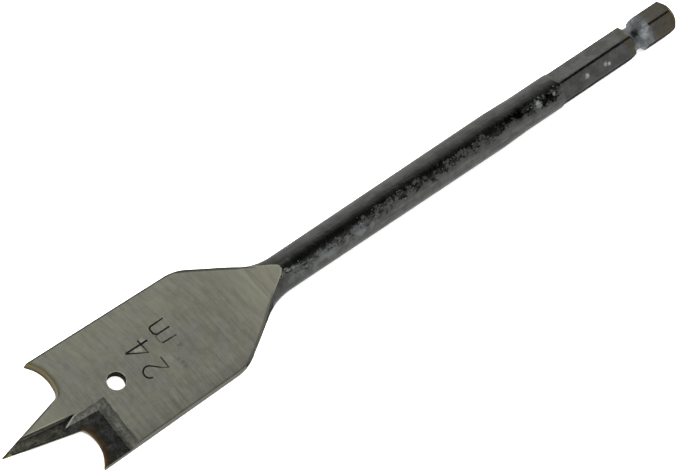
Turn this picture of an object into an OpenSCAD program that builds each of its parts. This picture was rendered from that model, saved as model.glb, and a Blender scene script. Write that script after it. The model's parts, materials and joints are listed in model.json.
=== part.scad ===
// Spade drill bit for wood, forged in one piece from round bar.
// The bit is drawn along +X from its point to its shank end, with its blade flat
// in the XY plane, and is then laid down as it comes to rest on a table.

/* [Bit] */
// Length from the tip of the point to the shank end
bit_len = 160; // [145:1:180]

/* [Blade] */
// Diameter of the hole that the lips cut
cut_d = 24; // [20:0.5:32]
// Thickness of the flat blade
blade_t = 2.4; // [1.8:0.1:3]
// Distance from the tip to the corner of the shoulders
shoulder_x = 46.7; // [42:0.1:52]
// Clearance that the sides gain between lips and shoulders
side_relief = 0.6; // [0.2:0.1:1.2]
// Slope of the shoulders towards the rod
shoulder_slope = 32.5; // [28:0.5:40]
// Rounding of the shoulder corners
shoulder_r = 9; // [3:0.5:12]
// Diameter of the hole through the blade
hole_d = 3.5; // [2:0.1:5]
// Distance from the tip to the centre of the hole
hole_x = 25; // [24.5:0.5:36]

/* [Point] */
// Width across the point where it meets the lips
point_w = 8.7; // [7:0.1:9.5]
// Width across the edges of the point at its tip
tip_w = 0.9; // [0.9:0.1:1.4]
// Length of the bevels that sharpen the tip
tip_bevel_len = 3.3; // [2:0.1:4]
// Thickness left at the tip between its bevels
tip_edge_t = 0.4; // [0.2:0.1:0.8]
// Relief angle behind the edges of the point
point_relief = 15; // [8:0.5:18]
// Depth of the scoop along each edge of the point
scoop_depth = 0.7; // [0.4:0.05:0.8]
// Width of the scoop's steep wall
scoop_wall = 0.35; // [0.2:0.05:0.6]
// Slope of the scoop's floor, from the cutting edge down to its wall
scoop_rake = 7; // [4:0.5:12]
// Distance from the tip to where the scoop's border crosses the centre line
scoop_cross_x = 10.5; // [9:0.5:11.5]
// Angle between the scoop's border and the centre line
scoop_border_a = 9.5; // [7:0.5:12]
// Angle between the ridge at the scoop's inner end and the centre line
scoop_ridge_a = 21.5; // [18:0.5:26]

/* [Lips] */
// Distance from the tip to the deepest place of the lips
lip_x = 15.2; // [14:0.1:17]
// Radius of the hooked curve of each lip
lip_r = 7.6; // [7:0.1:9]
// How far the outer corner of each lip stands forward
nib_rise = 1.95; // [1.2:0.05:2.4]
// Fillet between lip and point
root_r = 0.8; // [0.4:0.1:1.2]
// Relief angle behind the cutting edges
lip_relief = 12; // [6:0.5:14]
// Depth of the hollow at the outer corner of each lip
nib_drop = 0.6; // [0.4:0.05:0.75]
// Depth of the hollow at its bottom
hollow_depth = 0.9; // [0.8:0.05:1.1]
// Distance from a lip's deepest place to the bottom of its hollow
hollow_set = 4.1; // [3:0.1:4.5]
// Length of the wall behind the hollow
hollow_rear = 2; // [1.5:0.1:3]
// Distance from the centre line to the inner border of the hollow
hollow_inner = 1.1; // [0.6:0.1:1.8]
// Width of the hollow's sloping inner wall
hollow_wall = 1.35; // [0.8:0.05:2]

/* [Neck] */
// Distance from the shoulder corners to where the faces start to rise
runout_set = 1.3; // [0.5:0.1:3]
// Radius of the run-out at the end of the ground faces
runout_r = 25; // [15:1:40]
// Height of the last facet, from the end of the run-out to the top of the rod
facet_rise = 0.75; // [0.4:0.05:1]
// Slope of that last facet
facet_slope = 8; // [5:0.5:14]
// Radius of the waist between shoulders and rod
waist_r = 13; // [8:0.5:16]

/* [Rod] */
// Diameter of the rod at the neck
rod_d = 7.15; // [6.5:0.05:8.5]
// Diameter that the rod gains towards the shank
rod_swell = 0.45; // [0.1:0.05:0.8]

/* [Shank] */
// Width across the flats of the hexagon
hex_af = 6.35; // [6:0.05:7]
// Length of the hexagon
hex_len = 29.6; // [22:0.1:34]
// Amount taken off across the hexagon's corners
corner_trim = 0.13; // [0.05:0.01:0.25]
// Turn of the hexagon's top corner away from the blade's normal
hex_turn = 8; // [0:1:30]
// Slope at which each flat runs out
flat_run_a = 30; // [20:1:45]
// Length of the round stretch in front of the hexagon
collar_len = 9.5; // [5:0.5:14]
// Length of the taper from the rod to that stretch
collar_run = 6; // [3:0.5:9]
// Chamfer at the shank end
end_chamfer = 1; // [0.5:0.1:1.4]
// Distance from the shank end to the middle of the detent groove
groove_set = 9.5; // [8:0.1:12]
// Diameter left at the bottom of the groove
groove_d = 4.9; // [4.5:0.1:5.4]
// Radius of the groove's hollow
groove_r = 2.1; // [1.5:0.1:2.3]

/* [Hidden] */
$fn = 96;
// Steps along each drawn arc
arc_steps = 16;
// Reach of the cutting shapes beyond the body
past = cut_d;

// Heights and half widths
half_t = blade_t / 2;
cut_r = cut_d / 2;
shoulder_w = cut_r - side_relief;
rod_r = rod_d / 2;
swell_r = rod_r + rod_swell / 2;
flat_z = hex_af / 2;
shank_r = (hex_af / cos(30) - corner_trim) / 2;

// Places along the shank
hex_x = bit_len - hex_len;
collar_x = hex_x - collar_len;
swell_x = collar_x - collar_run;
groove_x = bit_len - groove_set;

// Curve of a lip, in plan, for the side of +Y
lip_c = [lip_x - lip_r, cut_r - sqrt(lip_r * lip_r - pow(lip_r - nib_rise, 2))];
nib = [lip_x - nib_rise, cut_r];
nib_a = atan2(nib.y - lip_c.y, nib.x - lip_c.x);

// Edge of the point, and the fillet that joins it to the lip
edge_a = atan((point_w - tip_w) / 2 / lip_x);
edge_dir = [cos(edge_a), sin(edge_a)];
edge_normal = [-sin(edge_a), cos(edge_a)];
tip_corner = [0, tip_w / 2];
fillet_gap = tip_corner + root_r * edge_normal - lip_c;
fillet_along = -fillet_gap * edge_dir
    + sqrt(pow(fillet_gap * edge_dir, 2) - fillet_gap * fillet_gap + pow(lip_r - root_r, 2));
fillet_c = tip_corner + fillet_along * edge_dir + root_r * edge_normal;
root_a = atan2(fillet_c.y - lip_c.y, fillet_c.x - lip_c.x);

// Bottom of the hollow behind a lip, in X and Z
valley = [lip_x + hollow_set, half_t - hollow_depth];

// Run-out of the ground faces, up to the top of the rod
runout_x = shoulder_x + runout_set;
crest_z = rod_r - facet_rise;
runout_len = sqrt(pow(runout_r, 2) - pow(runout_r - crest_z + half_t, 2));
crest_x = runout_x + runout_len;
face_end_x = crest_x + facet_rise / tan(facet_slope);

// Neck, where the line of the shoulders would meet the rod
waist_x = shoulder_x + (shoulder_w - rod_r) / tan(shoulder_slope);

// Rest on a table: along the underside of the rod and on one corner of a lip
rest_pitch = atan((swell_r - rod_r) / (swell_x - waist_x));
rest_lift = rod_r * cos(rest_pitch) - waist_x * sin(rest_pitch);
rest_drop = (rest_lift + nib.x * sin(rest_pitch)) / cos(rest_pitch);
rest_roll = asin(rest_drop / cut_r) - asin(half_t / cut_r);

function unit(v) = v / norm(v);

// Points on a circle from one angle to another
function arc(centre, radius, from, to) =
    [for (i = [0:arc_steps]) let (a = from + (to - from) * i / arc_steps)
        centre + radius * [cos(a), sin(a)]];

// Points that round the corner between two straight lines
function rounded(before, corner, after, radius) =
    let (
        u = unit(before - corner),
        w = unit(after - corner),
        half = acos(u * w) / 2,
        centre = corner + unit(u + w) * radius / sin(half),
        first = corner + u * radius / tan(half) - centre,
        last = corner + w * radius / tan(half) - centre,
        from = atan2(first.y, first.x),
        turn = (atan2(last.y, last.x) - from + 540) % 360 - 180
    )
    arc(centre, radius, from, from + turn);

// Extrudes a drawing of X and Z along Y, equally to both sides
module across() {
    rotate([90, 0, 0])
        linear_extrude(2 * past, center = true)
            children();
}

// Wedge that opens from its apex between two directions
module vee(apex, one_dir, other_dir) {
    polygon([apex + past * one_dir, apex, apex + past * other_dir]);
}

// Copies a shape of the leading side to the other face and the other lip
module both_lips() {
    for (turn = [0, 180])
        rotate([turn, 0, 0])
            children();
}

// Turned outline of blade, neck, rod and shank
module blank() {
    shoulder = [shoulder_x, shoulder_w];
    waist = [waist_x, rod_r];
    swell = [swell_x, swell_r];
    outline = concat(
        [[0, 0], [0, cut_r], nib],
        rounded(nib, shoulder, waist, shoulder_r),
        rounded(shoulder, waist, swell, waist_r),
        [
            swell,
            [collar_x, shank_r],
            [bit_len - end_chamfer, shank_r],
            [bit_len, shank_r - end_chamfer],
            [bit_len, 0]
        ]
    );
    rotate([90, 0, 90])
        rotate_extrude()
            mirror([1, -1])
                polygon(outline);
}

// Thickness of the blade, and the run-out of its faces into the rod
module thickness() {
    runout = arc([runout_x, half_t + runout_r], runout_r, -90, asin(runout_len / runout_r) - 90);
    top = concat(
        [[-past, half_t]],
        runout,
        [[face_end_x, rod_r], [face_end_x + rod_d, past], [bit_len + past, past]]
    );
    bottom = [for (i = [len(top) - 1:-1:0]) [top[i].x, -top[i].y]];
    across()
        polygon(concat(top, bottom));
}

// Space in front of a lip, set back behind the cutting edge for relief
module lip_front() {
    under_point_a = root_a - 40;
    plan = concat(
        arc(lip_c, lip_r, under_point_a, nib_a),
        [[nib.x, past], [-past, past], [-past, -past]]
    );
    translate([lip_x, 0, half_t])
        rotate([0, -lip_relief, 0])
            linear_extrude(2 * past, center = true)
                translate([-lip_x, 0])
                    mirror([0, 1])
                        polygon(plan);
}

// Space beside the point with its fillet, leaning inwards for relief
module point_side() {
    fillet_end_a = root_a - 12;
    fillet = arc(fillet_c, root_r, edge_a - 90, fillet_end_a);
    outer = fillet[arc_steps] + 2 * past * [-sin(fillet_end_a), cos(fillet_end_a)];
    plan = concat([tip_corner - past * edge_dir], fillet, [outer, [-past, outer.y]]);
    translate([0, -tip_corner.y, half_t])
        rotate([0, 0, -edge_a])
            rotate([point_relief, 0, 0])
                linear_extrude(2 * past, center = true)
                    rotate([0, 0, edge_a])
                        translate([0, tip_corner.y])
                            mirror([0, 1])
                                polygon(plan);
}

// Notch that leaves a lip and one edge of the point
module lip_notch() {
    intersection() {
        lip_front();
        point_side();
    }
}

// Hollow behind a cutting edge, with its rake, rear wall and inner wall
module lip_hollow() {
    rake_dir = unit([nib.x, half_t - nib_drop] - valley);
    rear_dir = unit([hollow_rear, hollow_depth]);
    wall_dir = unit([hollow_wall, hollow_depth]);
    wall_top = [-hollow_inner, half_t];
    intersection() {
        across()
            vee(valley, rake_dir, rear_dir);
        rotate([90, 0, 90])
            linear_extrude(2 * past)
                polygon([wall_top + past * wall_dir, wall_top - past * wall_dir, [-3 * past, past]]);
    }
}

// Scoop along the leading edge of the point, ending at a ridge before the hollow
module point_scoop() {
    foot = [-scoop_wall, -scoop_depth];
    floor_dir = [-cos(scoop_rake), sin(scoop_rake)];
    ridge_a = scoop_border_a + scoop_ridge_a;
    ridge_dir = [cos(ridge_a), sin(ridge_a)];
    ridge_end = [lip_x - scoop_cross_x, 0];
    translate([scoop_cross_x, 0, half_t])
        rotate([0, 0, -scoop_border_a])
            intersection() {
                rotate([90, 0, 90])
                    linear_extrude(4 * past, center = true)
                        vee(foot, floor_dir, unit(-foot));
                linear_extrude(2 * past, center = true)
                    polygon([ridge_end + past * ridge_dir, ridge_end - past * ridge_dir, [-2 * past, past]]);
            }
}

// Bevel that thins one face of the point towards the tip
module tip_bevel() {
    rise = unit([tip_bevel_len, half_t - tip_edge_t / 2]);
    foot = [0, tip_edge_t / 2];
    across()
        polygon([foot - past * rise, foot + past * rise, [-past, past]]);
}

// Stock beside the six flats of the shank, with a sloping end to each flat
module flats() {
    run = [past / tan(flat_run_a), past];
    for (i = [0:5])
        rotate([hex_turn + 30 + 60 * i, 0, 0])
            across()
                polygon([
                    [hex_x, flat_z],
                    [bit_len + past, flat_z],
                    [bit_len + past, flat_z + run.y],
                    [hex_x - run.x, flat_z + run.y]
                ]);
}

// Round-bottomed groove that a ball or clip in the holder drops into
module detent_groove() {
    translate([groove_x, 0, 0])
        rotate([0, 90, 0])
            rotate_extrude()
                translate([groove_d / 2 + groove_r, 0])
                    circle(groove_r);
}

// The whole bit on its own axis
module bit() {
    difference() {
        intersection() {
            blank();
            thickness();
        }
        both_lips() {
            lip_notch();
            lip_hollow();
            point_scoop();
            tip_bevel();
        }
        translate([hole_x, 0, 0])
            cylinder(h = 2 * past, d = hole_d, center = true);
        flats();
        detent_groove();
    }
}

// The bit laid down, with the middle of its length over the origin
module spade_bit() {
    color("dimgray")
        translate([-bit_len / 2, 0, rest_lift])
            rotate([0, -rest_pitch, 0])
                rotate([rest_roll, 0, 0])
                    bit();
}

spade_bit();
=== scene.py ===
"""Looks of a spade drill bit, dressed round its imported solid."""

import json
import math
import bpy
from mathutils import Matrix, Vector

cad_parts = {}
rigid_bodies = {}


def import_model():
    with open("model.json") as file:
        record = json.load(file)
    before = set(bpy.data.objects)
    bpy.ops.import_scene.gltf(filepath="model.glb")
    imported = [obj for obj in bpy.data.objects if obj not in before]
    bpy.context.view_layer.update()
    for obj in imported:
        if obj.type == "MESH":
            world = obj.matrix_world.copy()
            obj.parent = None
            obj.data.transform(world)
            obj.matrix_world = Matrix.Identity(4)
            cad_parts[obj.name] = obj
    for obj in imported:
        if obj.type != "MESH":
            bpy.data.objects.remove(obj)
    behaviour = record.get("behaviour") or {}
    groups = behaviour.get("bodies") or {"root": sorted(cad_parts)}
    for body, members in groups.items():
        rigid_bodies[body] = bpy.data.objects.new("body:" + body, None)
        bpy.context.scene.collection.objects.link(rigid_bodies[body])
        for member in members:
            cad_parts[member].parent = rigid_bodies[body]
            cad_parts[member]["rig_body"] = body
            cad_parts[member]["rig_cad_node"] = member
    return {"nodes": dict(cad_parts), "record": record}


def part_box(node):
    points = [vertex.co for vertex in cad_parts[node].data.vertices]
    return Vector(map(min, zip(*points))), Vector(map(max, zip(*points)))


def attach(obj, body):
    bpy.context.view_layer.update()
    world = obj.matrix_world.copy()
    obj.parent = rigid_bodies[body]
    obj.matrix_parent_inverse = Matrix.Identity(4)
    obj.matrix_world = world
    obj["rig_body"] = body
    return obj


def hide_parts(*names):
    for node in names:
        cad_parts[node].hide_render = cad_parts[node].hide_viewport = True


bl_info = {
    "name": "Spade Bit Finish",
    "version": (1, 0, 0),
    "blender": (4, 5, 0),
    "location": "View3D > Sidebar > Spade Bit",
    "description": "Gives the solid of a spade drill bit its ground faces, dark oxide and size mark",
    "category": "Object",
}

import bmesh
import bpy
from mathutils import Matrix, Vector

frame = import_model()

NODE = "spade_bit"
BODY = "bit_body"
MM = 0.001

# Sizes and places below are in millimetres on the bit's own axes: x from the tip, y across, z up

# Where along the bit one form gives way to the next; the hole and the groove by their middles
TIP_X = 3.0
LIP_X = 12.0
ROOT_X = 17.0
HOLLOW_END_X = 23.0
HOLE_X = 25.0
SHOULDER_X = 46.0
FACET_X = 57.2
SHOULDER_END_X = 57.5
ROD_X = 66.5
HEX_X = 130.4
GROOVE_X = 150.5
CHAMFER_X = 158.9
BIT_LENGTH = 160.0

# Height of the blade's upper face, reach of the hole, and distance of the hexagon's flats from the axis
BLADE_Z = 1.2
HOLE_REACH = 1.85
FLAT = 3.175

# Distances from the axis of the point's root, of the lips' inner ends and of their corners
ROOT_RADIUS = 3.4
INNER_RADIUS = 5.5
CORNER_RADIUS = 12.2

# Curve of the lips' edges, and the corner of the border round each hollow
LIP_CENTRE = (7.6, 6.92)
LIP_RADIUS = 7.6
HOLLOW_CORNER = (21.3, -1.1)

# Slope and start of the lines that the turned outline follows: sides, shoulders and rod
OUTLINE = ((-0.0179, 12.238), (-0.6371, 41.151), (0.004, 3.338))

# Lines on the upper face, each by its normal and offset: the point's trailing and cutting edges,
# the painted highlight streak in its scoop, the scoop's border with its painted highlight and shade, and
# the ridge behind it with its painted highlight
POINT_EDGE = ((-0.2485, 0.9686, 0.0), -0.207)
POINT_CUT = ((0.2485, 0.9686, 0.0), -0.4)
GLEAM = ((0.1343, 0.9909, 0.0), 1.24)
SCOOP_EDGE = ((0.157, 0.9876, 0.0), 1.68)
RIDGE = ((-0.3665, 0.9304, 0.0), -6.269)

# Places on the shank that have been rubbed pale, each with its reach; the last two, in the groove, are
# painted highlights
RUBBED_SPOTS_AND_HIGHLIGHTS = (
    ((124.2, -1.5, 3.35), 1.0),
    ((128.2, -1.5, 3.35), 0.5),
    ((136.6, -2.05, 2.5), 0.7),
    ((141.3, -2.1, 2.5), 0.6),
    ((142.1, -2.35, 2.3), 0.5),
    ((151.9, -1.2, 2.65), 1.5),
    ((152.8, -0.4, 3.1), 1.0),
)

# Places on rod and shank where the skin is black, each with its reach
STAINS = (
    ((150.4, -0.2, 2.5), 1.5),
    ((119.4, -1.0, 3.6), 2.2),
    ((121.8, -1.1, 3.6), 2.0),
    ((127.0, -1.0, 3.3), 1.4),
)

# Dark dots, the remains of a letter that has been ground away
DOTS = ((38.75, -1.05, 1.2), (36.75, -3.05, 1.2), (36.95, -3.95, 1.2), (36.9, -4.95, 1.2))
DOT_REACH = 0.6

# Painted highlights beside the strokes of the 4, glints where their raised burrs catch the light
GLINTS = ((33.25, 3.55, 1.2), (32.1, 2.35, 1.2), (31.4, 2.6, 1.2))
GLINT_REACH = 0.7

# Where the size mark lies on the blade, the height below which its grooves are dark,
# and the corner behind which the letter has been ground away
MARK_X = (28.0, 41.0)
MARK_Y = 6.5
MARK_Z = (0.9, 1.1995)
MARK_DARK_Z = 1.172
WORN_CORNER = (35.0, 0.2)

# Least share of the full depth at which a stroke's round bar still cuts the face
LEAST_SHARE = 0.1
# A stroke's width: the share that it always has, and the share that comes with its depth
WIDTH_ALWAYS = 0.55
WIDTH_BY_DEPTH = 0.45

# Angles past which an edge may be broken, and past which it is shaded as an edge
BREAK_ANGLE = math.radians(15)
CRISP_ANGLE = math.radians(28)

# Straw tint that the tip has from grinding
TIP_TINT = (0.72, 0.68, 0.36)

# Colour sockets of a Mix node, by number
MIX_FIRST = 6
MIX_SECOND = 7
MIX_RESULT = 2

# Steps between the columns and rows of laid out nodes
COLUMN_STEP = 220
ROW_STEP = 200


def bit_axes():
    """Matrix from millimetres on the bit's own axes, measured from its tip, to the row frame."""
    mounts = {m["name"]: m for m in frame["record"]["mounts"]}
    along = Vector(mounts["shank_hexagon"]["axis"]).normalized()
    up = Vector(mounts["blade_hole"]["axis"]).normalized()
    across = up.cross(along).normalized()
    up = along.cross(across)
    low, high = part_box(NODE)
    end = Vector(mounts["shank_hexagon"]["pos_m"])
    tip = end - along * (high.x - low.x)
    turn = Matrix((along, across, up)).transposed().to_4x4()
    return Matrix.Translation(tip) @ turn @ Matrix.Scale(MM, 4)


AXES = bit_axes()
TURN = AXES.to_3x3().normalized()
TO_BIT = AXES.inverted()
TO_BIT_TURN = AXES.to_3x3().inverted()
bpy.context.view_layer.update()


def length_setting(label, description, default, limits):
    """A length in metres that a user may change."""
    return bpy.props.FloatProperty(
        name=label,
        description=description,
        default=default,
        min=limits[0],
        max=limits[1],
        precision=6,
        unit="LENGTH",
    )


def colour_setting(label, description, default):
    """A colour that a user may change."""
    return bpy.props.FloatVectorProperty(
        name=label,
        description=description,
        default=default,
        min=0.0,
        max=1.0,
        subtype="COLOR",
    )


class SpadeBitSizes(bpy.types.PropertyGroup):
    """Sizes of the details that the finish adds to the solid."""

    bore_break: length_setting(
        "Hole edge break",
        "Width of the broken edge round the hole in the blade",
        0.00018,
        (0.00002, 0.0004),
    )
    border_break: length_setting(
        "Hollow edge break",
        "Width of the broken edges along the borders of the hollows",
        0.00014,
        (0.00002, 0.0003),
    )
    mark_stroke: length_setting(
        "Mark stroke",
        "Width of the engraved strokes of the size mark",
        0.00037,
        (0.0001, 0.0008),
    )
    mark_depth: length_setting(
        "Mark depth",
        "Depth of the engraved strokes of the size mark",
        0.00013,
        (0.00003, 0.0003),
    )
    worn_share: bpy.props.FloatProperty(
        name="Worn share",
        description="What is left of the stroke's depth where the mark has been ground away",
        default=0.2,
        min=0.1,
        max=1.0,
        subtype="FACTOR",
    )


class SpadeBitColours(bpy.types.PropertyGroup):
    """Colours of the bit's finishes."""

    ground: colour_setting("Ground faces", "Steel of the ground blade", (0.56, 0.565, 0.49))
    facet: colour_setting(
        "Last facet",
        "Warmer steel where the ground faces run out on the rod",
        (0.66, 0.655, 0.53),
    )
    oxide: colour_setting("Dark oxide", "Dark skin of the rod and neck", (0.124, 0.127, 0.118))
    scuff: colour_setting("Scuffs", "Bluish grey scuffs and specks in the dark skin", (0.245, 0.262, 0.27))
    hollow: colour_setting(
        "Hollows",
        "Dull skin in the hollows behind the cutting edges",
        (0.125, 0.127, 0.12),
    )
    scoop: colour_setting("Scoops", "Warmer skin in the scoops of the point", (0.152, 0.155, 0.12))
    tint: colour_setting("Heat tint", "Brown tint that grinding heat left on the lips", (0.1, 0.072, 0.034))
    tan: colour_setting("Tan", "Paler tint in the middle of the lips' end faces", (0.19, 0.146, 0.054))
    straw: colour_setting(
        "Straw line",
        "Brightest tint, along the cutting edges in the hollows",
        (0.55, 0.26, 0.07),
    )
    side: colour_setting("Blade sides", "Steel on the narrow sides of the blade", (0.25, 0.25, 0.21))


class SpadeBitStage(bpy.types.PropertyGroup):
    """Floor, light and camera."""

    floor: colour_setting("Floor", "Colour of the plain floor", (0.9, 0.9, 0.9))
    fill_power: bpy.props.FloatProperty(
        name="Fill power",
        description="Power of the wide light over the floor",
        default=55.0,
        min=0.0,
        max=500.0,
        unit="POWER",
    )
    focal_length: bpy.props.FloatProperty(
        name="Focal length",
        description="Focal length of the camera on a sensor 36 mm wide",
        default=158.829,
        min=20.0,
        max=400.0,
        unit="CAMERA",
    )


class SpadeBitFinish(bpy.types.PropertyGroup):
    """All that a user may change."""

    sizes: bpy.props.PointerProperty(type=SpadeBitSizes)
    colours: bpy.props.PointerProperty(type=SpadeBitColours)
    stage: bpy.props.PointerProperty(type=SpadeBitStage)


# Selection, and the finish of each face


def only(piece):
    """Leaves one object selected and active."""
    bpy.ops.object.select_all(action="DESELECT")
    piece.select_set(True)
    bpy.context.view_layer.objects.active = piece


def finish_at(place, normal):
    """Name of the finish on a face, from its place and normal on the bit's own axes.

    The numbers beside the normal's parts say how far a face has to lean.
    """
    if place.z < 0:
        # The bit repeats itself half a turn about its axis
        place = Vector((place.x, -place.y, -place.z))
        normal = Vector((normal.x, -normal.y, -normal.z))
    radius = math.hypot(place.y, place.z)
    from_axis = normal.y * place.y + normal.z * place.z
    if place.x > CHAMFER_X and normal.x > 0.3:
        return "tint"
    if place.x > HEX_X + 0.5 and abs(normal.y) > 0.9 and abs(from_axis - FLAT) < 0.05:
        return "flank"
    if place.x > ROD_X:
        return "oxide"
    if SHOULDER_X < place.x < SHOULDER_END_X and abs(normal.z) < 0.45:
        return "flank"
    if place.x > SHOULDER_X:
        ground = normal.z > 0.85 and normal.x < 0.002 and place.z > BLADE_Z - 0.05
        ramp = place.x < FACET_X or normal.x < -0.07
        return "ground" if ground and ramp else "oxide"
    if abs(place.x - HOLE_X) < HOLE_REACH and abs(place.y) < HOLE_REACH and normal.z < 0.3:
        return "mark"
    if normal.z > 0.99 and place.z > BLADE_Z - 0.03:
        return "ground"
    if place.x < TIP_X and normal.x < -0.2 and normal.z > 0.5:
        return "ground"
    if normal.z > 0.6 and place.x > LIP_X and (normal.x < -0.2 or normal.y < -0.4):
        return "wall"
    if normal.z > 0.3 and place.x < HOLLOW_END_X:
        return "hollow"
    if place.x < ROOT_X and radius < ROOT_RADIUS:
        return "hollow"
    if place.x < ROOT_X and radius < CORNER_RADIUS and normal.x < -0.3:
        return "tint"
    if place.x < ROOT_X - 1.5 and radius < INNER_RADIUS:
        return "hollow"
    return "side"


def finish_of(face):
    """Name of the finish on a face of the body."""
    normal = (TO_BIT_TURN @ face.normal).normalized()
    return finish_at(TO_BIT @ face.calc_center_median(), normal)


def mark_finish(place):
    """Name of the finish in the grooves of the size mark, or nothing outside them."""
    inside = MARK_X[0] < place.x < MARK_X[1] and abs(place.y) < MARK_Y
    if not (inside and MARK_Z[0] < place.z < MARK_Z[1]):
        return None
    if place.x > WORN_CORNER[0] and place.y < WORN_CORNER[1]:
        return "ground"
    return "mark" if place.z < MARK_DARK_Z else "wall"


# Body


def broken(edge, pair, low, high):
    """Whether an edge lies between two finishes, on a stretch along the bit."""
    if len(edge.link_faces) != 2 or edge.calc_face_angle(0.0) < BREAK_ANGLE:
        return False
    middle = TO_BIT @ ((edge.verts[0].co + edge.verts[1].co) / 2)
    if not low < middle.x < high:
        return False
    return {finish_of(face) for face in edge.link_faces} == pair


def break_edges(body, pair, low, high, width):
    """Bevels the edges between two finishes on a stretch of the bit, and marks the new faces as rubbed."""
    only(body)
    bpy.ops.object.mode_set(mode="EDIT")
    bpy.ops.mesh.select_mode(type="EDGE")
    bpy.ops.mesh.select_all(action="DESELECT")
    mesh = bmesh.from_edit_mesh(body.data)
    edges = [edge for edge in mesh.edges if broken(edge, pair, low, high)]
    if not edges:
        raise RuntimeError("no edge of the body was found to break")
    for edge in edges:
        edge.select_set(True)
    bmesh.update_edit_mesh(body.data)
    bpy.ops.mesh.bevel(
        offset=width,
        offset_type="WIDTH",
        segments=2,
        affect="EDGES",
        clamp_overlap=False,
        loop_slide=True,
    )
    mesh = bmesh.from_edit_mesh(body.data)
    rubbed = mesh.faces.layers.int["rubbed"]
    for face in mesh.faces:
        if face.select:
            face[rubbed] = 1
    bmesh.update_edit_mesh(body.data)
    bpy.ops.object.mode_set(mode="OBJECT")


class SPADEBIT_OT_body(bpy.types.Operator):
    """Makes the visible body from the solid, with broken edges round its hole and hollows"""

    bl_idname = "spade_bit.body"
    bl_label = "Bit body"

    def execute(self, context):
        sizes = context.scene.spade_bit.sizes
        only(frame["nodes"][NODE])
        bpy.ops.object.duplicate(linked=False)
        body = context.active_object
        bpy.ops.object.parent_clear(type="CLEAR_KEEP_TRANSFORM")
        body.name = BODY
        body.data.name = BODY
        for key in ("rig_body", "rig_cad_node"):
            if key in body:
                del body[key]
        body.data.materials.clear()
        only(body)
        bpy.ops.object.mode_set(mode="EDIT")
        bpy.ops.mesh.select_all(action="SELECT")
        bpy.ops.mesh.customdata_custom_splitnormals_clear()
        bpy.ops.mesh.remove_doubles(threshold=0.002 * MM)
        bpy.ops.mesh.dissolve_limited(angle_limit=math.radians(0.3), delimit=set())
        mesh = bmesh.from_edit_mesh(body.data)
        mesh.faces.layers.int.new("rubbed")
        bmesh.update_edit_mesh(body.data)
        bpy.ops.object.mode_set(mode="OBJECT")
        break_edges(body, {"ground", "mark"}, HOLE_X - 3, HOLE_X + 3, sizes.bore_break)
        break_edges(body, {"ground", "wall"}, LIP_X - 1, HOLLOW_END_X, sizes.border_break)
        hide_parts(NODE)
        return {"FINISHED"}


# Size mark


def bow(centre, radius, start, end, steps=9):
    """Points of a round stroke from one angle to another, in degrees."""
    angles = [math.radians(start + (end - start) * i / steps) for i in range(steps + 1)]
    return [(centre[0] + radius * math.cos(a), centre[1] + radius * math.sin(a)) for a in angles]


def two():
    """Strokes of a 2 in millimetres from its lower left corner, each with its share of the full depth."""
    top = bow((1.28, 3.36), 1.2, 172, -36)
    return [
        (top, 0.85),
        ([top[-1], (0.85, 1.2)], 0.6),
        ([(0.85, 1.2), (0.0, 0.03)], 0.3),
        ([(0.0, 0.0), (2.5, 0.0)], 0.5),
    ]


def four():
    """Strokes of a 4."""
    return [
        ([(2.15, 4.88), (2.05, 0.0)], 1.0),
        ([(2.15, 4.88), (0.0, 1.3), (3.0, 1.55)], 0.9),
    ]


def em():
    """Strokes of an m."""
    hump = [(0.55, 3.28), (1.3, 3.35), (1.75, 3.22), (1.96, 2.9)]
    return [
        ([(0.05, 3.1), (0.0, 1.1)], 0.6),
        ([(0.0, 1.1), (-0.03, -0.08)], 0.35),
        ([(0.06, 2.85)] + hump, 0.22),
        ([(1.96, 2.9), (1.96, 0.05)], 0.7),
        ([(1.98, 2.9)] + [(x + 1.95, y + 0.04) for x, y in hump], 1.0),
        ([(3.91, 2.94), (3.91, 1.2)], 0.9),
        ([(3.91, 1.2), (3.91, 0.05)], 0.5),
    ]


# Glyph, the place on the blade of its lower left corner, and whether it has been ground away
SIZE_MARK = (
    (two, (34.27, -3.38), False),
    (four, (34.3, 1.04), False),
    (em, (39.25, 1.0), False),
    (em, (39.2, -4.85), True),
)


def stroke_cutter(points, width, depth):
    """A round bar along a stroke, sunk so far into the upper face that it leaves this width and depth."""
    radius = (width * width / 4 + depth * depth) / (2 * depth)
    raised = TURN @ Vector((0, 0, radius - depth))
    places = [AXES @ Vector((x, y, BLADE_Z)) + raised for x, y in points]
    bpy.ops.object.select_all(action="DESELECT")
    bpy.ops.mesh.primitive_plane_add(size=MM, location=places[0])
    bpy.ops.object.transform_apply(location=True, rotation=True, scale=True)
    bpy.ops.object.mode_set(mode="EDIT")
    bpy.ops.mesh.select_mode(type="VERT")
    bpy.ops.mesh.select_all(action="SELECT")
    bpy.ops.mesh.merge(type="CENTER")
    for before, after in zip(places, places[1:]):
        bpy.ops.mesh.extrude_region_move(TRANSFORM_OT_translate={"value": after - before})
    bpy.ops.object.mode_set(mode="OBJECT")
    bpy.ops.object.convert(target="CURVE")
    bar = bpy.context.active_object.data
    bar.dimensions = "3D"
    bar.bevel_depth = radius
    bar.bevel_resolution = 3
    bar.use_fill_caps = True
    bpy.ops.object.convert(target="MESH")
    return bpy.context.active_object


def cut_stroke(body, cutter):
    """Cuts a stroke into the body and removes its cutter."""
    only(body)
    cut = body.modifiers.new("stroke", "BOOLEAN")
    cut.operation = "DIFFERENCE"
    cut.solver = "EXACT"
    cut.object = cutter
    before = len(body.data.vertices)
    bpy.ops.object.modifier_apply(modifier=cut.name)
    if len(body.data.vertices) <= before:
        raise RuntimeError("a stroke of the size mark did not cut the blade")
    only(cutter)
    bpy.ops.object.delete()


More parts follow.
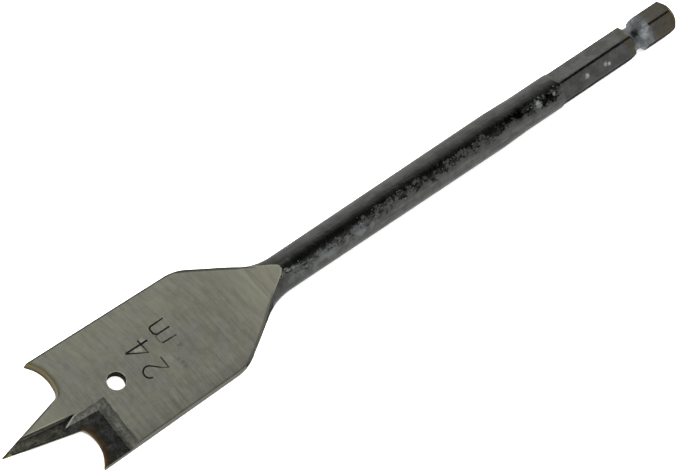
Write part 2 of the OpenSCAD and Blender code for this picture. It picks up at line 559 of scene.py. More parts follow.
class SPADEBIT_OT_size_mark(bpy.types.Operator):
    """Engraves the size mark into the blade's upper face"""

    bl_idname = "spade_bit.size_mark"
    bl_label = "Size mark"

    def execute(self, context):
        sizes = context.scene.spade_bit.sizes
        body = bpy.data.objects[BODY]
        for glyph, corner, worn in SIZE_MARK:
            kept = sizes.worn_share if worn else 1.0
            for stroke, share in glyph():
                points = [(corner[0] - y, corner[1] + x) for x, y in stroke]
                deep = max(share * kept, LEAST_SHARE)
                width = sizes.mark_stroke * (WIDTH_ALWAYS + WIDTH_BY_DEPTH * deep)
                cut_stroke(body, stroke_cutter(points, width, sizes.mark_depth * deep))
        return {"FINISHED"}


# Nodes


class Nodes:
    """A node tree under construction. What its nodes are fed is a value or a socket."""

    def __init__(self, tree):
        self.tree = tree

    def feed(self, target, source):
        """Links a socket to an input, or sets the input's own value."""
        if isinstance(source, bpy.types.NodeSocket):
            self.tree.links.new(source, target)
        else:
            target.default_value = source

    def add(self, kind, feeds=(), **settings):
        """Adds a node, sets it, feeds its inputs by name or number, and returns its outputs."""
        node = self.tree.nodes.new("ShaderNode" + kind)
        for name, value in settings.items():
            setattr(node, name, value)
        for name, source in dict(feeds).items():
            self.feed(node.inputs[name], source)
        return node.outputs

    def math(self, operation, *operands):
        """Result of a math node."""
        return self.add("Math", enumerate(operands), operation=operation)[0]

    def vector(self, operation, *operands):
        """Result of a vector math node, which is a vector only for a division."""
        results = self.add("VectorMath", enumerate(operands), operation=operation)
        return results["Vector" if operation == "DIVIDE" else "Value"]

    def times(self, product, *factors):
        """Product of values and masks."""
        for factor in factors:
            product = self.math("MULTIPLY", product, factor)
        return product

    def most(self, mask, *others):
        """Greatest of several masks at each point."""
        for other in others:
            mask = self.math("MAXIMUM", mask, other)
        return mask

    def span(self, value, low, high, to_low=0.0, to_high=1.0):
        """Maps a value from one range to another, smoothly and within its ends."""
        feeds = enumerate((value, low, high, to_low, to_high))
        return self.add("MapRange", feeds, interpolation_type="SMOOTHSTEP")["Result"]

    def between(self, value, low, high, soft):
        """Mask of a stretch, which starts and ends softly."""
        start = self.span(value, low, low + soft)
        return self.times(start, self.span(value, high - soft, high, 1.0, 0.0))

    def fade(self, gap, reach, core):
        """Mask that is whole over a core's share of its reach and fades to nothing at the reach."""
        return self.span(self.math("DIVIDE", gap, reach), core, 1.0, 1.0, 0.0)

    def cloud(self, place, size, detail, low, high):
        """Mask of a noise whose lumps have this size."""
        shrunk = self.vector("DIVIDE", place, size)
        feeds = {"Vector": shrunk, "Scale": 1.0, "Detail": detail, "Roughness": 0.6}
        return self.span(self.add("TexNoise", feeds)["Fac"], low, high)

    def mix(self, share, first, second, mode="MIX"):
        """Blends two colours by a share."""
        feeds = {0: share}
        for number, colour in ((MIX_FIRST, first), (MIX_SECOND, second)):
            feeds[number] = colour if isinstance(colour, bpy.types.NodeSocket) else (*colour, 1.0)
        return self.add("Mix", feeds, data_type="RGBA", blend_type=mode)[MIX_RESULT]


class Group(Nodes):
    """A shader node group under construction. An input with no value of its own is a vector."""

    def __init__(self, name, inputs, outputs, vectors=()):
        super().__init__(bpy.data.node_groups.new(name, "ShaderNodeTree"))
        sockets = self.tree.interface
        for label, value in inputs.items():
            kind = "NodeSocketVector" if value is None else "NodeSocketFloat"
            socket = sockets.new_socket(label, in_out="INPUT", socket_type=kind)
            if value is not None:
                socket.default_value = value
        for label in vectors:
            sockets.new_socket(label, in_out="OUTPUT", socket_type="NodeSocketVector")
        for label in outputs:
            sockets.new_socket(label, in_out="OUTPUT", socket_type="NodeSocketFloat")
        self.given = self.tree.nodes.new("NodeGroupInput").outputs
        self.results = self.tree.nodes.new("NodeGroupOutput").inputs

    def give(self, **sources):
        """Feeds the group's outputs and returns its tree."""
        for label, source in sources.items():
            self.feed(self.results[label], source)
        return self.tree


def lay_out(tree):
    """Sets the nodes of a tree in columns, each to the left of the nodes that it feeds."""
    column = {node.name: 0 for node in tree.nodes}
    moved = True
    while moved:
        moved = False
        for link in tree.links:
            least = column[link.to_node.name] + 1
            if column[link.from_node.name] < least:
                column[link.from_node.name] = least
                moved = True
    filled = {}
    for node in tree.nodes:
        place = column[node.name]
        filled[place] = filled.get(place, 0) + 1
        node.location = (-COLUMN_STEP * place, -ROW_STEP * filled[place])


def place_group():
    """Group of each point's place on the bit's own axes, in millimetres from the tip.

    Leading is the same place turned half round the axis on the lower face, where the bit repeats.
    """
    group = Group("Bit Place", {}, ("Along", "Across", "Height", "Radius"), ("Place", "Leading"))
    axes = {
        "Vector": group.add("TexCoord")["Object"],
        "Location": AXES.to_translation(),
        "Rotation": TURN.to_euler(),
        "Scale": (MM, MM, MM),
    }
    place = group.add("Mapping", axes, vector_type="TEXTURE")["Vector"]
    along, across, height = group.add("SeparateXYZ", {"Vector": place})
    turned = {
        "X": along,
        "Y": group.times(across, group.math("SIGN", height)),
        "Z": group.math("ABSOLUTE", height),
    }
    leading = group.add("CombineXYZ", turned)["Vector"]
    section = group.add("CombineXYZ", {"Y": across, "Z": height})["Vector"]
    radius = group.vector("LENGTH", section)
    group.give(Place=place, Leading=leading)
    return group.give(Along=along, Across=across, Height=height, Radius=radius)


def grind_group():
    """Group of fine grinding lines and the broader streaks among them."""
    inputs = {"Place": None, "Slant": 0.0, "Spacing": 0.12, "Length": 9.0}
    group = Group("Grinding Lines", inputs, ("Lines", "Streaks"))
    given = group.given
    feeds = {"Vector": given["Place"], "Angle": given["Slant"]}
    turned = group.add("VectorRotate", feeds, rotation_type="Z_AXIS")["Vector"]
    for label, wider, longer, detail in (("Lines", 1.0, 1.0, 4.0), ("Streaks", 4.0, 1.3, 3.0)):
        across = group.times(given["Spacing"], wider)
        along = group.times(given["Length"], longer)
        size = group.add("CombineXYZ", {"X": across, "Y": along, "Z": across})["Vector"]
        group.give(**{label: group.cloud(turned, size, detail, 0.28, 0.72)})
    return group.tree


def speck_group():
    """Group of the uneven look of a skin: small specks, a grain, and broad mottling."""
    group = Group("Skin Specks", {"Place": None, "Size": 0.3}, ("Specks", "Grain", "Mottle"))
    rows = (("Specks", 1.0, 0.56, 0.72), ("Grain", 2.6, 0.33, 0.67), ("Mottle", 8.0, 0.33, 0.67))
    for label, wider, low, high in rows:
        size = group.times(group.given["Size"], wider)
        group.give(**{label: group.cloud(group.given["Place"], size, 4.0, low, high)})
    return group.tree


def chip_group():
    """Group of a few small round pale spots."""
    inputs = {"Place": None, "Spacing": 1.5, "Share": 0.2, "Width": 0.2}
    group = Group("Pale Spots", inputs, ("Spots",))
    given = group.given
    shrunk = group.vector("DIVIDE", given["Place"], given["Spacing"])
    cells = group.add("TexVoronoi", {"Vector": shrunk, "Scale": 1.0, "Randomness": 1.0})
    draw = group.add("SeparateColor", {"Color": cells["Color"]})["Red"]
    kept = group.math("LESS_THAN", draw, given["Share"])
    return group.give(Spots=group.times(kept, group.fade(cells["Distance"], given["Width"], 0.4)))


def lip_group():
    """Group that fades away from the curved edge of each lip."""
    group = Group("Near Lip", {"Place": None, "Reach": 0.9}, ("Near",))
    parts = group.add("SeparateXYZ", {"Vector": group.given["Place"]})
    along = group.math("SUBTRACT", parts["X"], LIP_CENTRE[0])
    sideways = group.math("SUBTRACT", group.math("ABSOLUTE", parts["Y"]), LIP_CENTRE[1])
    flat = group.add("CombineXYZ", {"X": along, "Y": sideways})["Vector"]
    gap = group.math("SUBTRACT", group.vector("LENGTH", flat), LIP_RADIUS)
    close = group.fade(group.math("ABSOLUTE", gap), group.given["Reach"], 0.0)
    return group.give(Near=group.times(close, group.span(sideways, -3.7, -3.0)))


def outline_group():
    """Group that fades inwards from the turned outline of blade, neck and rod."""
    group = Group("Near Outline", {"Along": 0.0, "Radius": 0.0, "Width": 0.3}, ("Near",))
    given = group.given
    lines = [group.math("MULTIPLY_ADD", given["Along"], slope, start) for slope, start in OUTLINE]
    sides, shoulders, rod = lines
    edge = group.math("SMOOTH_MIN", sides, shoulders, 2.2)
    edge = group.math("SMOOTH_MAX", edge, rod, 3.3)
    gap = group.math("SUBTRACT", edge, given["Radius"])
    return group.give(Near=group.fade(gap, given["Width"], 0.45))


def border_group():
    """Group that measures how far a point lies outside the border of its hollow, in millimetres.

    Foot is 1 at the foot of the rear wall and fades to 0 further up; it masks painted shade there.
    """
    group = Group("Hollow Border", {"Leading": None}, ("Border", "Foot"))
    parts = group.add("SeparateXYZ", {"Vector": group.given["Leading"]})
    rear = group.math("SUBTRACT", parts["X"], HOLLOW_CORNER[0])
    inner = group.math("SUBTRACT", parts["Y"], HOLLOW_CORNER[1])
    behind = group.math("GREATER_THAN", rear, inner)
    low = group.span(rear, -2.0, -0.8, 1.0, 0.0)
    return group.give(Border=group.most(rear, inner), Foot=group.times(low, behind))


def line_group():
    """Group that fades away to both sides of a straight line along the blade."""
    inputs = {"Leading": None, "Normal": None, "Offset": 0.0, "Width": 0.3}
    group = Group("Near Line", inputs, ("Near",))
    given = group.given
    reach = group.vector("DOT_PRODUCT", given["Leading"], given["Normal"])
    gap = group.math("ABSOLUTE", group.math("SUBTRACT", reach, given["Offset"]))
    return group.give(Near=group.fade(gap, given["Width"], 0.4))


def spot_group():
    """Group that fades away from one place on the bit."""
    group = Group("Near Spot", {"Place": None, "Centre": None, "Reach": 1.0}, ("Near",))
    given = group.given
    gap = group.vector("DISTANCE", given["Place"], given["Centre"])
    return group.give(Near=group.fade(gap, given["Reach"], 0.2))


GROUPS = {
    "place": place_group,
    "grind": grind_group,
    "specks": speck_group,
    "chips": chip_group,
    "lip": lip_group,
    "outline": outline_group,
    "border": border_group,
    "line": line_group,
    "spot": spot_group,
}


# Finishes

# Inputs of a group that are fed by the point's place
PLACE_READ = ("Place", "Leading", "Along", "Radius")


def scaled(colour, level):
    """A colour made darker or lighter."""
    return [min(1.0, c * level) for c in colour]


class Paint(Nodes):
    """A material under construction: its shader's inputs, its groups, and its coat of colour."""

    def __init__(self, name, groups, colour, level=1.0):
        self.material = bpy.data.materials.new(name)
        self.material.use_nodes = True
        super().__init__(self.material.node_tree)
        self.inputs = self.tree.nodes["Principled BSDF"].inputs
        self.inputs["Metallic"].default_value = 1.0
        self.groups = groups
        self.coat = scaled(colour, level)
        self.place = self.put("place")

    def put(self, key, **values):
        """Places a group, feeds it its values and what it reads of the place, and returns its outputs."""
        tree = self.groups[key]
        labels = [item.name for item in tree.interface.items_tree if item.in_out == "INPUT"]
        feeds = {label: self.place[label] for label in labels if label in PLACE_READ}
        feeds.update(values)
        return self.add("Group", feeds, node_tree=tree)

    def grind(self, slant, spacing, length):
        """Grinding lines at a slant in degrees."""
        return self.put("grind", Slant=math.radians(slant), Spacing=spacing, Length=length)

    def lip(self, reach):
        """Mask along the curved edges of the lips."""
        return self.put("lip", Reach=reach)["Near"]

    def line(self, line, width):
        """Mask along a straight line on the blade."""
        return self.put("line", Normal=line[0], Offset=line[1], Width=width)["Near"]

    def spot(self, centre, reach):
        """Mask round one place."""
        return self.put("spot", Centre=centre, Reach=reach)["Near"]

    def cover(self, mask, colour, level=1.0, mode="MIX"):
        """Lays a colour, made darker or lighter, over the coat by a mask."""
        self.coat = self.mix(mask, self.coat, scaled(colour, level), mode)

    def tone(self, mask, without, within):
        """Multiplies the coat by a grey that runs from one level to another with a mask."""
        self.coat = self.mix(1.0, self.coat, self.span(mask, 0.0, 1.0, without, within), "MULTIPLY")

    def roughness(self, source, smooth, rough):
        """Feeds the roughness from a mask."""
        self.feed(self.inputs["Roughness"], self.span(source, 0.0, 1.0, smooth, rough))

    def relief(self, source, height, strength):
        """Raises the surface by a mask, to a height in millimetres."""
        feeds = {"Strength": strength, "Distance": height * MM, "Height": source}
        self.feed(self.inputs["Normal"], self.add("Bump", feeds)["Normal"])

    def grazing(self, level):
        """Sets how bright the metal is where it is seen at a low angle."""
        self.inputs["Specular Tint"].default_value = (level, level, level, 1.0)

    def done(self):
        """Feeds the coat to the shader, lays out the nodes and returns the material."""
        self.feed(self.inputs["Base Color"], self.coat)
        lay_out(self.tree)
        return self.material


def ground_paint(colours, groups):
    """Ground faces of the blade: slanting grinding lines, dark broken edges, a warm last facet, and painted
    highlights along its rim, the scoop's border and beside the 4.
    """
    paint = Paint("ground_steel", groups, colours.ground)
    along = paint.place["Along"]
    across = paint.place["Across"]
    slanted = paint.grind(-13, 0.17, 5.0)
    upright = paint.grind(-2, 0.3, 7.0)
    specks = paint.put("specks", Size=0.5)
    far_side = paint.span(across, 1.0, 10.0)
    leaning = paint.math("SUBTRACT", slanted["Lines"], upright["Lines"])
    lines = paint.math("MULTIPLY_ADD", leaning, far_side, upright["Lines"])
    paint.cover(specks["Mottle"], colours.facet, 0.86)
    paint.tone(lines, 0.9, 1.07)
    paint.tone(specks["Grain"], 0.95, 1.05)
    paint.tone(upright["Streaks"], 0.93, 1.04)
    streak = paint.times(far_side, slanted["Streaks"], 0.7)
    paint.cover(streak, colours.facet, 1.1)
    low_side = paint.span(across, -12.0, -7.0)
    paint.tone(low_side, 0.86, 1.0)
    point = paint.span(along, 9.0, 17.0, 0.55, 0.0)
    paint.cover(point, colours.facet, 1.08)
    # Warmer towards the last facet, which has a painted highlight along its rim
    rise = paint.span(along, 47.0, 55.0, 0.0, 0.65)
    paint.cover(rise, colours.facet, 1.12)
    last = paint.span(along, 56.8, 59.2)
    paint.cover(paint.times(last, 0.9), colours.facet, 1.06)
    painted_rim_highlight = paint.put("outline", Width=0.15)["Near"]
    paint.cover(paint.times(painted_rim_highlight, last), colours.facet, 1.3)
    # Dark outline, wider along the shoulders
    shoulders = paint.between(along, 45.5, 57.5, 2.5)
    outline = paint.put("outline", Width=paint.span(shoulders, 0.0, 1.0, 0.38, 0.75))["Near"]
    early = paint.math("SUBTRACT", 1.0, last)
    sideways = paint.span(across, -2.0, 2.0, 0.4, 0.7)
    dark = paint.times(outline, early, sideways)
    paint.cover(dark, colours.side, 0.16)
    # Dark trailing edge of the point, and a painted highlight along the border of its scoop
    on_point = paint.span(along, 12.4, 13.2, 0.7, 0.0)
    edged = paint.times(paint.line(POINT_EDGE, 0.28), on_point)
    paint.cover(edged, colours.tint, 0.9)
    before_hollow = paint.between(along, 3.5, 13.6, 1.0)
    painted_highlight = paint.times(paint.line(SCOOP_EDGE, 0.4), before_hollow, 0.7)
    paint.cover(painted_highlight, colours.facet, 1.4)
    # Heat tint along the lips, browner at the very edge
    paint.cover(paint.times(paint.lip(1.4), 0.95), colours.tan)
    paint.cover(paint.times(paint.lip(0.42), 0.75), colours.tint, 1.2)
    for dot in DOTS:
        paint.tone(paint.spot(dot, DOT_REACH), 1.0, 0.8)
    # Painted highlights (glints) beside the strokes of the 4
    for glint in GLINTS:
        painted_glint = paint.times(paint.spot(glint, GLINT_REACH), 0.6)
        paint.cover(painted_glint, colours.facet, 1.45)
    tip = paint.span(along, 1.8, 2.8, 0.9, 0.0)
    paint.cover(tip, TIP_TINT, mode="MULTIPLY")
    paint.roughness(lines, 0.54, 0.7)
    paint.relief(lines, 0.014, 0.45)
    return paint.done()


def oxide_paint(colours, groups):
    """Dark skin of neck, rod and shank: drawing lines, scuffs, pale chips and browned ends, with painted
    shade over the neck and painted highlights behind the last facet, on the hexagon's far flat and in the
    groove.
    """
    paint = Paint("dark_oxide", groups, colours.oxide)
    along = paint.place["Along"]
    across = paint.place["Across"]
    drawn = paint.grind(90, 0.2, 9.0)
    specks = paint.put("specks", Size=0.26)
    grain = specks["Grain"]
    mottle = specks["Mottle"]
    calm = paint.span(along, HEX_X - 2.0, HEX_X + 0.6, 1.0, 0.25)
    lines = paint.math("SUBTRACT", drawn["Lines"], 0.5)
    lines = paint.math("MULTIPLY_ADD", lines, calm, 0.5)
    paint.tone(lines, 0.8, 1.15)
    paint.tone(mottle, 0.85, 1.15)
    # Painted shade, darker over the neck in front of the rod
    painted_neck_shade = paint.span(along, 59.0, 67.0)
    paint.tone(painted_neck_shade, 0.6, 1.0)
    # The strip that has been handled most, with a ragged border
    ragged = paint.math("MULTIPLY_ADD", mottle, -1.2, across)
    ragged = paint.math("MULTIPLY_ADD", grain, -0.6, ragged)
    handled = paint.times(paint.between(ragged, -3.3, -1.8, 0.6), calm)
    pits = paint.times(paint.span(grain, 0.12, 0.5, 1.0, 0.0), handled)
    paint.tone(pits, 1.0, 0.3)
    near_neck = paint.span(along, 80.0, 92.0, 1.0, 0.4)
    rubbed = paint.span(handled, 0.0, 1.0, 0.18, 1.5)
    worn = paint.times(grain, drawn["Streaks"], mottle, near_neck, rubbed)
    scuff = paint.span(worn, 0.05, 0.5)
    paint.cover(scuff, colours.scuff)
    # Soft bluish patches behind the neck
    behind_neck = paint.between(along, 60.0, 86.0, 6.0)
    strip = paint.between(across, -3.5, -0.9, 0.9)
    patches = paint.times(behind_neck, strip, paint.span(mottle, 0.2, 0.9, 0.0, 0.6))
    paint.cover(patches, colours.scuff)
    # Painted highlight: the dark reflected band is lightened just behind the last facet
    painted_highlight_behind_facet = paint.between(along, 59.5, 65.5, 1.5)
    middle = paint.between(across, -1.8, 1.0, 0.6)
    paint.tone(paint.times(painted_highlight_behind_facet, middle), 1.0, 2.3)
    # Black skin left whole between there and the hexagon
    collar = paint.between(along, 81.0, HEX_X + 0.4, 3.0)
    higher = paint.between(ragged, -3.0, -0.7, 0.5)
    unworn = paint.span(mottle, 0.35, 0.75, 1.0, 0.0)
    blacker = paint.span(along, HEX_X - 18.0, HEX_X - 12.0, 0.5, 1.0)
    paint.tone(paint.times(collar, higher, unworn, blacker), 1.0, 0.16)
    # The hexagon, a little darker, with painted light on its far flat, where the light falls
    shank = paint.span(along, 129.0, 131.0)
    painted_lit_flat = paint.span(across, -0.6, 0.3)
    before_stub = paint.span(along, GROOVE_X + 2.4, GROOVE_X + 4.0, 1.0, 0.55)
    paint.tone(shank, 1.0, 0.97)
    paint.tone(paint.times(painted_lit_flat, shank, before_stub), 1.0, 1.5)
    # Dusty skin in the groove, and black stains
    wavy = paint.math("MULTIPLY_ADD", mottle, 0.7, along)
    groove = paint.between(wavy, GROOVE_X - 1.6, GROOVE_X + 3.7, 0.5)
    paint.cover(paint.times(groove, 0.75), colours.scuff, 1.06)
    paint.tone(paint.times(mottle, groove), 0.85, 1.4)
    spread = paint.span(grain, 0.0, 0.7, 0.35, 1.0)
    for place, reach in STAINS:
        stain = paint.times(paint.spot(place, reach), spread)
        paint.tone(stain, 1.0, 0.22)
    # Dark corner along the top of the hexagon
    corner = paint.span(paint.place["Radius"], 3.49, 3.55)
    topmost = paint.span(paint.math("ABSOLUTE", across), 1.2, 1.7, 1.0, 0.0)
    patchy = paint.span(grain, 0.0, 0.5, 0.55, 1.0)
    hexagon = paint.between(along, HEX_X, BIT_LENGTH, 0.5)
    hexagon = paint.math("SUBTRACT", hexagon, groove)
    corner = paint.most(paint.times(corner, topmost, patchy, hexagon), 0.0)
    paint.cover(corner, colours.oxide, 0.15)
    # Brown tint at the end, on the stub behind the groove and in a ring before it
    end = paint.span(along, BIT_LENGTH - 2.4, BIT_LENGTH - 0.6, 0.0, 0.9)
    ring = paint.times(paint.between(along, GROOVE_X - 3.6, GROOVE_X - 1.6, 0.8), 0.4)
    stub = paint.span(along, GROOVE_X + 3.2, GROOVE_X + 4.6, 0.0, 0.62)
    stub = paint.times(stub, paint.span(mottle, 0.0, 1.0, 0.3, 1.0))
    paint.cover(paint.most(end, ring, stub), colours.tint)
    # Pale chips and rubbed places, and painted highlights in the groove
    chips = paint.put("chips", Spacing=0.8, Share=0.16, Width=0.16)["Spots"]
    pale = paint.times(chips, paint.between(across, -3.0, 0.5, 0.6))
    blotch = paint.span(grain, 0.0, 1.0, 0.4, 1.0)
    for place, reach in RUBBED_SPOTS_AND_HIGHLIGHTS:
        pale = paint.most(pale, paint.times(paint.spot(place, reach), blotch))
    paint.cover(pale, colours.scuff, 2.7)
    paint.roughness(paint.most(pale, scuff, groove), 0.17, 0.7)
    uneven = paint.math("MULTIPLY_ADD", grain, 1.3, mottle)
    rough = paint.span(handled, 0.0, 1.0, 0.2, 1.0)
    paint.relief(paint.times(uneven, rough), 0.06, 0.8)
    paint.grazing(0.72)
    return paint.done()


def hollow_paint(colours, groups):
    """Dull skin on the floors of hollows and scoops, mottled, with a brown line along the lips, painted
    shade towards the valley and over the point's root, and a painted highlight streak in the scoop.
    """
    paint = Paint("hollow_skin", groups, colours.hollow)
    along = paint.place["Along"]
    grind = paint.grind(-80, 0.16, 4.0)
    specks = paint.put("specks", Size=0.2)
    scoop = paint.span(along, 10.8, 13.2, 1.0, 0.0)
    paint.cover(scoop, colours.scoop)
    paint.tone(specks["Grain"], 0.72, 1.25)
    paint.tone(specks["Mottle"], 0.75, 1.25)
    # Painted shade, darker towards the valley at the back of the hollow
    deep = paint.span(along, 16.2, 19.2)
    paint.tone(deep, 1.08, 0.84)
    paint.tone(paint.times(grind["Streaks"], scoop), 0.9, 1.5)
    # Painted shade over the root of the point
    root = paint.between(along, 8.0, 14.0, 2.0)
    paint.tone(root, 1.0, 0.8)
    paint.cover(paint.times(specks["Specks"], 0.6), colours.scuff)
    paint.cover(paint.times(paint.lip(2.6), 0.85), colours.tint, 1.5)
    # Painted highlight streak, painted shade along the border, and brown cutting edge of the scoop
    on_point = paint.between(along, 4.0, 13.8, 1.5)
    gleam = paint.times(paint.line(GLEAM, 0.24), on_point, 0.65)
    paint.cover(gleam, colours.ground, 0.6)
    painted_border_shade = paint.times(paint.line(SCOOP_EDGE, 0.24), on_point)
    paint.tone(painted_border_shade, 1.0, 0.35)
    cut = paint.times(paint.line(POINT_CUT, 0.5), scoop, 0.85)
    paint.cover(cut, colours.tint, 0.5)
    # Straw line along the lips, which fades towards the axis
    sideways = paint.math("ABSOLUTE", paint.place["Across"])
    outer = paint.span(sideways, 4.2, 5.8, 0.12, 0.9)
    paint.cover(paint.times(paint.lip(0.8), outer), colours.straw)
    paint.roughness(specks["Mottle"], 0.36, 0.55)
    paint.relief(grind["Lines"], 0.02, 0.5)
    return paint.done()


def wall_paint(colours, groups):
    """Ground walls at the rear and inner side of the hollows, mottled, with painted shade at the foot of
    the rear wall and a painted highlight along the ridge.
    """
    paint = Paint("hollow_wall", groups, colours.ground, 0.61)
    grind = paint.grind(2, 0.15, 5.0)
    specks = paint.put("specks", Size=0.2)
    border = paint.put("border")
    paint.tone(grind["Lines"], 0.8, 1.2)
    paint.tone(specks["Grain"], 0.76, 1.18)
    paint.tone(specks["Mottle"], 0.8, 1.12)
    # Painted shade at the foot of the rear wall
    paint.tone(border["Foot"], 1.0, 0.6)
    top = paint.span(border["Border"], -0.9, -0.2, 0.0, 0.55)
    paint.cover(top, colours.hollow)
    # Painted highlight along the ridge behind the scoop
    painted_highlight = paint.times(paint.line(RIDGE, 0.34), 0.85)
    paint.cover(painted_highlight, colours.ground, 1.35)
    paint.roughness(grind["Lines"], 0.5, 0.66)
    paint.relief(grind["Lines"], 0.015, 0.4)
    return paint.done()


def tint_paint(colours, groups):
    """Brown tint of the lips' end faces, with a tan upper half, and of the shank's end."""
    paint = Paint("heat_tint", groups, colours.tint, 0.5)
    grind = paint.grind(80, 0.12, 3.0)
    specks = paint.put("specks", Size=0.35)
    paint.cover(specks["Mottle"], colours.tint)
    turned_up = paint.math("SIGN", paint.place["Across"])
    height = paint.times(paint.place["Height"], turned_up)
    upper = paint.span(height, -0.25, 0.6, 0.0, 0.9)
    on_lip = paint.span(paint.place["Along"], 20.0, 24.0, 1.0, 0.0)
    paint.cover(paint.times(upper, on_lip), colours.tan)
    bare = paint.times(grind["Lines"], 0.1)
    paint.cover(bare, colours.ground, 0.5)
    paint.roughness(grind["Lines"], 0.35, 0.5)
    paint.relief(grind["Lines"], 0.012, 0.4)
    return paint.done()


def side_paint(colours, groups):
    """Duller steel of the blade's narrow sides."""
    paint = Paint("blade_side", groups, colours.side, 0.85)
    lines = paint.grind(88, 0.14, 8.0)["Lines"]
    paint.cover(lines, colours.side, 1.1)
    paint.roughness(lines, 0.5, 0.62)
    paint.relief(lines, 0.012, 0.4)
    paint.grazing(0.5)
    return paint.done()


def rub_paint(colours, groups):
    """Bright broken edges round the hole and along the borders of the hollows."""
    paint = Paint("broken_edge", groups, colours.facet, 1.15)
    grain = paint.put("specks", Size=0.3)["Grain"]
    paint.tone(grain, 0.65, 1.15)
    paint.roughness(grain, 0.45, 0.6)
    return paint.done()


def mark_paint(colours, groups):
    """Dark grooves of the size mark and the dark wall of the hole."""
    paint = Paint("mark_groove", groups, colours.hollow, 0.38)
    mottle = paint.put("specks", Size=0.3)["Mottle"]
    paint.tone(mottle, 0.6, 1.4)
    paint.roughness(mottle, 0.5, 0.7)
    paint.grazing(0.3)
    return paint.done()


def flank_paint(colours, groups):
    """Dull dark skin on the upright flats of the hexagon and along the shoulders."""
    paint = Paint("dull_oxide", groups, colours.oxide, 0.85)
    specks = paint.put("specks", Size=0.3)
    paint.tone(specks["Mottle"], 0.7, 1.3)
    paint.roughness(specks["Grain"], 0.4, 0.6)
    paint.grazing(0.12)
    return paint.done()


# Finishes in the order of the body's material slots
FINISHES = {
    "ground": ground_paint,
    "oxide": oxide_paint,
    "hollow": hollow_paint,
    "wall": wall_paint,
    "tint": tint_paint,
    "side": side_paint,
    "rub": rub_paint,
    "mark": mark_paint,
    "flank": flank_paint,
}


class SPADEBIT_OT_finish(bpy.types.Operator):
    """Gives each face of the body its finish, and keeps crisp edges between finishes"""

    bl_idname = "spade_bit.finish"
    bl_label = "Finishes"

    def execute(self, context):
        colours = context.scene.spade_bit.colours
        body = bpy.data.objects[BODY]
        groups = {key: make() for key, make in GROUPS.items()}
        for tree in groups.values():
            lay_out(tree)
        body.data.materials.clear()
        for make in FINISHES.values():
            body.data.materials.append(make(colours, groups))
        only(body)
        bpy.ops.object.shade_smooth()
        order = list(FINISHES)
        mesh = bmesh.new()
        mesh.from_mesh(body.data)
        rubbed = mesh.faces.layers.int["rubbed"]
        for face in mesh.faces:
            name = "rub" if face[rubbed] else finish_of(face)
            name = mark_finish(TO_BIT @ face.calc_center_median()) or name
            face.material_index = order.index(name)
        for edge in mesh.edges:
            pair = {face.material_index for face in edge.link_faces}
            edge.smooth = len(pair) == 1 and edge.calc_face_angle(0.0) < CRISP_ANGLE
        mesh.to_mesh(body.data)
        mesh.free()
        weigh = body.modifiers.new("flat faces", "WEIGHTED_NORMAL")
        weigh.mode = "FACE_AREA"
        weigh.keep_sharp = True
        bpy.ops.object.modifier_apply(modifier=weigh.name)
        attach(body, "root")
        return {"FINISHED"}


# Stage

# Sizes in metres: the floor's side, how far it lies below the bit, and the light's side and height
FLOOR_SIDE = 8.0
FLOOR_DROP = 0.00005
LIGHT_SIDE = 1.6
LIGHT_HEIGHT = 1.2

# Brightness of the tent by height, from the horizon to straight overhead, and its lean to one side
TENT_LEVELS = ((0.33, 0.84), (0.66, 0.5), (0.85, 0.18), (0.93, 0.03))
TENT_ENDS = (1.0, 0.02)
TENT_LEAN = 0.2

# Place of the camera and its directions on the bit's own axes
CAMERA_PLACE = (-132.234, -138.141, 496.156)
CAMERA_RIGHT = (0.77035, -0.61911, 0.15254)
CAMERA_DOWN = (-0.51491, -0.74513, -0.42385)
CAMERA_FORWARD = (0.37607, 0.24796, -0.89280)


def stage_floor(colour):
    """A plain pale floor under the bit, faintly lit from below as on a light table."""
    bpy.ops.object.select_all(action="DESELECT")
    bpy.ops.mesh.primitive_plane_add(size=FLOOR_SIDE, location=(0, 0, -FLOOR_DROP))
    floor = bpy.context.active_object
    floor.name = "floor"
    bpy.ops.object.transform_apply(location=True, rotation=True, scale=True)
    paper = bpy.data.materials.new("floor_paper")
    paper.use_nodes = True
    inputs = paper.node_tree.nodes["Principled BSDF"].inputs
    inputs["Base Color"].default_value = (*colour, 1.0)
    inputs["Roughness"].default_value = 0.9
    inputs["Specular IOR Level"].default_value = 0.1
    inputs["Emission Color"].default_value = (1.0, 1.0, 1.0, 1.0)
    inputs["Emission Strength"].default_value = 0.5
    floor.data.materials.append(paper)
    floor.visible_glossy = False


def stage_world():
    """White tent walls round the horizon, darker overhead."""
    world = bpy.data.worlds.new("tent")
    bpy.context.scene.world = world
    world.use_nodes = True
    tent = Nodes(world.node_tree)
    parts = tent.add("SeparateXYZ", {"Vector": tent.add("TexCoord")["Generated"]})
    lean = tent.times(parts["Y"], TENT_LEAN)
    ramp = world.node_tree.nodes.new("ShaderNodeValToRGB")
    tent.feed(ramp.inputs["Fac"], tent.math("SUBTRACT", parts["Z"], lean))
    stops = ramp.color_ramp.elements
    for stop, place, level in zip(stops, (0.0, 1.0), TENT_ENDS):
        stop.position = place
        stop.color = (level, level, level, 1.0)
    for place, level in TENT_LEVELS:
        stops.new(place).color = (level, level, level, 1.0)
    background = world.node_tree.nodes["Background"].inputs
    background["Strength"].default_value = 1.0
    tent.feed(background["Color"], ramp.outputs["Color"])
    lay_out(world.node_tree)


def stage_light(power):
    """A wide soft light overhead that lights the floor and is not mirrored in the steel."""
    bpy.ops.object.select_all(action="DESELECT")
    bpy.ops.object.light_add(type="AREA", location=(0, 0, LIGHT_HEIGHT))
    lamp = bpy.context.active_object
    lamp.name = "fill"
    lamp.data.shape = "SQUARE"
    lamp.data.size = LIGHT_SIDE
    lamp.data.energy = power
    lamp.visible_glossy = False


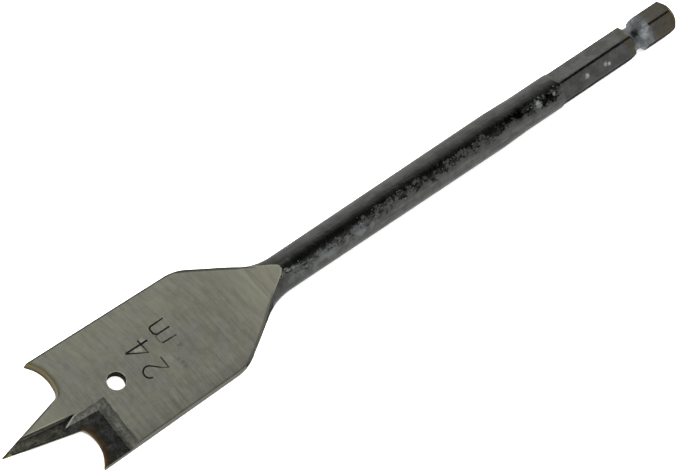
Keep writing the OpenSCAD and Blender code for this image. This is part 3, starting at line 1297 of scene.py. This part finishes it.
def stage_camera(focal_length):
    """Camera at the photograph's angle."""
    right, down, forward = (Vector(v) for v in (CAMERA_RIGHT, CAMERA_DOWN, CAMERA_FORWARD))
    turn = TURN @ Matrix((right, -down, -forward)).transposed()
    bpy.ops.object.select_all(action="DESELECT")
    bpy.ops.object.camera_add()
    camera = bpy.context.active_object
    camera.name = "camera"
    camera.matrix_world = Matrix.Translation(AXES @ Vector(CAMERA_PLACE)) @ turn.to_4x4()
    camera.data.sensor_fit = "HORIZONTAL"
    camera.data.sensor_width = 36.0
    camera.data.lens = focal_length
    camera.data.clip_start = 0.01
    camera.data.clip_end = 50.0
    bpy.context.scene.camera = camera


class SPADEBIT_OT_stage(bpy.types.Operator):
    """Sets up floor, light and camera"""

    bl_idname = "spade_bit.stage"
    bl_label = "Stage"

    def execute(self, context):
        stage = context.scene.spade_bit.stage
        stage_floor(stage.floor)
        stage_world()
        stage_light(stage.fill_power)
        stage_camera(stage.focal_length)
        context.scene.view_settings.view_transform = "Standard"
        return {"FINISHED"}


class SPADEBIT_PT_panel(bpy.types.Panel):
    """Lists the steps and what may be changed"""

    bl_idname = "SPADEBIT_PT_panel"
    bl_label = "Spade Bit"
    bl_space_type = "VIEW_3D"
    bl_region_type = "UI"
    bl_category = "Spade Bit"

    def draw(self, context):
        finish = context.scene.spade_bit
        for part in (finish.sizes, finish.colours, finish.stage):
            box = self.layout.box()
            for name in part.__annotations__:
                box.prop(part, name)
        for step in STEPS:
            self.layout.operator(step.bl_idname)


STEPS = (SPADEBIT_OT_body, SPADEBIT_OT_size_mark, SPADEBIT_OT_finish, SPADEBIT_OT_stage)
CLASSES = (SpadeBitSizes, SpadeBitColours, SpadeBitStage, SpadeBitFinish) + STEPS + (SPADEBIT_PT_panel,)


def register():
    """Registers the classes and the settings of the scene."""
    for cls in CLASSES:
        bpy.utils.register_class(cls)
    bpy.types.Scene.spade_bit = bpy.props.PointerProperty(type=SpadeBitFinish)


def unregister():
    """Removes the settings and the classes."""
    del bpy.types.Scene.spade_bit
    for cls in reversed(CLASSES):
        bpy.utils.unregister_class(cls)


def main():
    """Builds the dressed bit and its stage."""
    register()
    bpy.ops.spade_bit.body()
    bpy.ops.spade_bit.size_mark()
    bpy.ops.spade_bit.finish()
    bpy.ops.spade_bit.stage()


if __name__ == "__main__":
    main()
